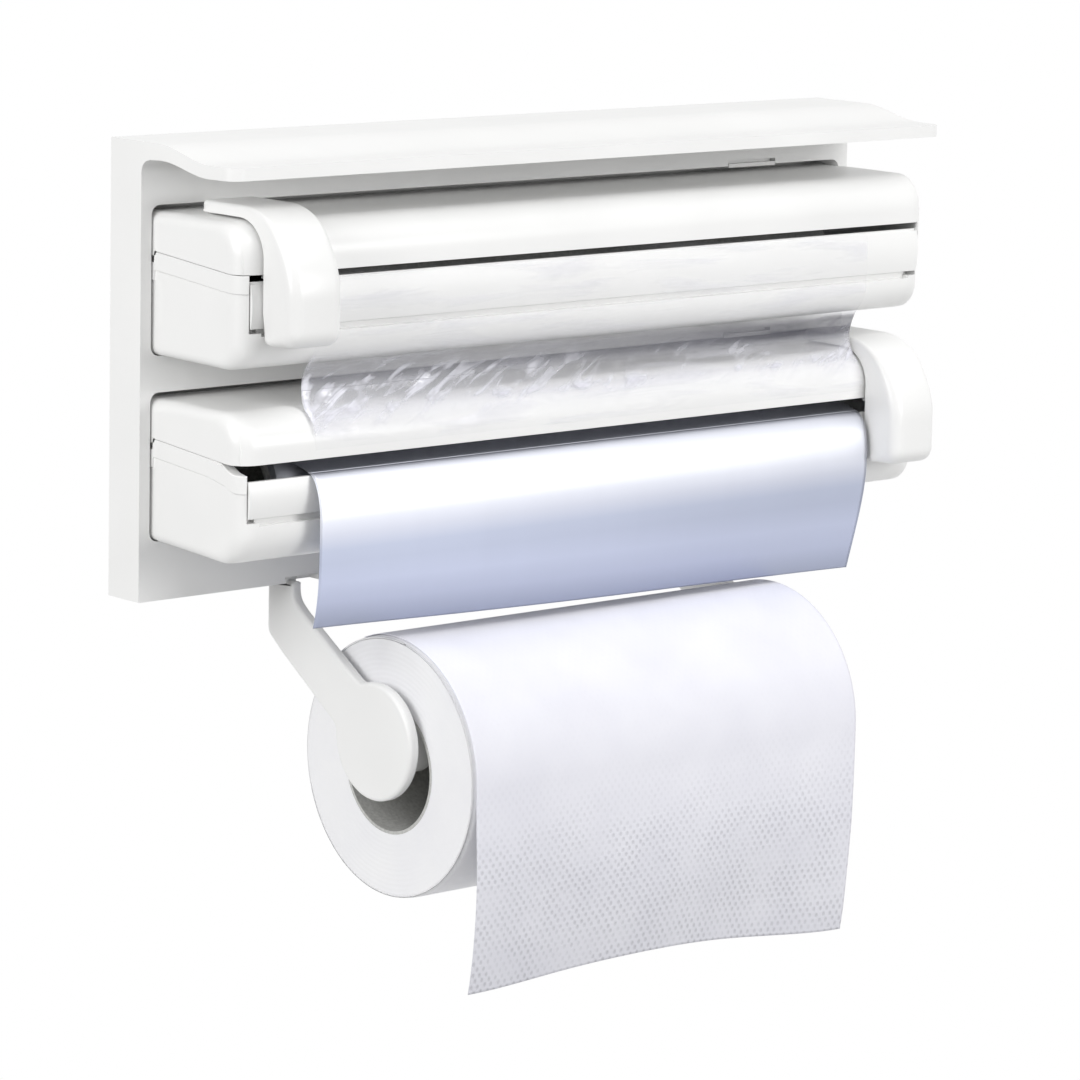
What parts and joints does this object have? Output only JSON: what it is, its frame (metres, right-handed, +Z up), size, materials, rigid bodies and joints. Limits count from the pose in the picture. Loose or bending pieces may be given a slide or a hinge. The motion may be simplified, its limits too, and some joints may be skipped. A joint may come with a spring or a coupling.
{
  "type": "kitchen roll, film and foil dispenser",
  "caption": "White wall dispenser: film and foil cassettes with slide cutters in a shelf-topped frame, and a kitchen roll hung on arms below.",
  "frame": {"origin": "centre of the four wall screw holes, on the wall plane", "axes": "+X along the wall to the right, +Y into the wall, +Z up"},
  "size_m": [0.38, 0.1244, 0.3367],
  "materials": {
    "white_abs": "smooth moulded",
    "pale_abs": "matte moulded",
    "steel": "ground",
    "film": "clear",
    "foil": "bright rolled",
    "tube_board": "raw",
    "tissue": "embossed paper"
  },
  "bodies": {
    "frame": {"wall_frame": "white_abs", "back_plate": "pale_abs", "back_plate_screws": "steel", "kitchen_sheet": "tissue"},
    "upper_catch": {"upper_catch": "white_abs"},
    "lower_catch": {"lower_catch": "white_abs"},
    "upper_cassette": {"upper_tray": "white_abs", "upper_lid_pins": "pale_abs", "upper_track": "white_abs", "film_sheet": "film"},
    "upper_lid": {"upper_lid": "white_abs"},
    "upper_cutter": {"upper_cutter": "white_abs", "upper_blade": "steel"},
    "film_spool": {"film_core": "tube_board", "film_roll": "film"},
    "lower_cassette": {"lower_tray": "white_abs", "lower_lid_pins": "pale_abs", "lower_track": "white_abs", "foil_sheet": "foil"},
    "lower_lid": {"lower_lid": "white_abs"},
    "lower_cutter": {"lower_cutter": "white_abs", "lower_blade": "steel"},
    "foil_spool": {"foil_core": "tube_board", "foil_roll": "foil"},
    "left_arm": {"left_arm": "white_abs"},
    "right_arm": {"right_arm": "white_abs"},
    "kitchen_spool": {"kitchen_core": "tube_board", "kitchen_roll": "tissue"}
  },
  "joints": [
    {"name": "upper_cassette_draw", "type": "slide", "parent": "frame", "child": "upper_cassette", "axis": [0, -1, 0], "range_m": [0, 0.05], "deforming": ["film_sheet"]},
    {"name": "lower_cassette_draw", "type": "slide", "parent": "frame", "child": "lower_cassette", "axis": [0, -1, 0], "range_m": [0, 0.05]},
    {"name": "upper_lid_hinge", "type": "hinge", "parent": "upper_cassette", "child": "upper_lid", "pos_m": [0, -0.016, 0.0485], "axis": [-1, 0, 0], "range_deg": [0, 11]},
    {"name": "lower_lid_hinge", "type": "hinge", "parent": "lower_cassette", "child": "lower_lid", "pos_m": [0, -0.016, -0.0249], "axis": [-1, 0, 0], "range_deg": [0, 9]},
    {"name": "upper_cutter_slide", "type": "slide", "parent": "upper_lid", "child": "upper_cutter", "axis": [1, 0, 0], "range_m": [0, 0.3236]},
    {"name": "lower_cutter_slide", "type": "slide", "parent": "lower_lid", "child": "lower_cutter", "axis": [-1, 0, 0], "range_m": [0, 0.3236], "deforming": ["foil_sheet"]},
    {"name": "film_roll_spin", "type": "hinge", "parent": "upper_cassette", "child": "film_spool", "pos_m": [0, -0.036, 0.0302], "axis": [1, 0, 0], "continuous": true},
    {"name": "foil_roll_spin", "type": "hinge", "parent": "lower_cassette", "child": "foil_spool", "pos_m": [0, -0.036, -0.0442], "axis": [1, 0, 0], "continuous": true},
    {"name": "kitchen_roll_spin", "type": "hinge", "parent": "frame", "child": "kitchen_spool", "pos_m": [0, -0.071, -0.1575], "axis": [1, 0, 0], "continuous": true},
    {"name": "left_arm_slide", "type": "slide", "parent": "frame", "child": "left_arm", "axis": [-1, 0, 0], "range_m": [0, 0.025]},
    {"name": "right_arm_slide", "type": "slide", "parent": "frame", "child": "right_arm", "axis": [1, 0, 0], "range_m": [0, 0.025]},
    {"name": "upper_catch_press", "type": "slide", "parent": "frame", "child": "upper_catch", "axis": [0, 0, 1], "range_m": [0, 0.0012], "stiffness_N_per_m": 800, "springref_m": -0.0005},
    {"name": "lower_catch_press", "type": "slide", "parent": "frame", "child": "lower_catch", "axis": [0, 0, 1], "range_m": [0, 0.0012], "stiffness_N_per_m": 800, "springref_m": -0.0005}
  ]
}
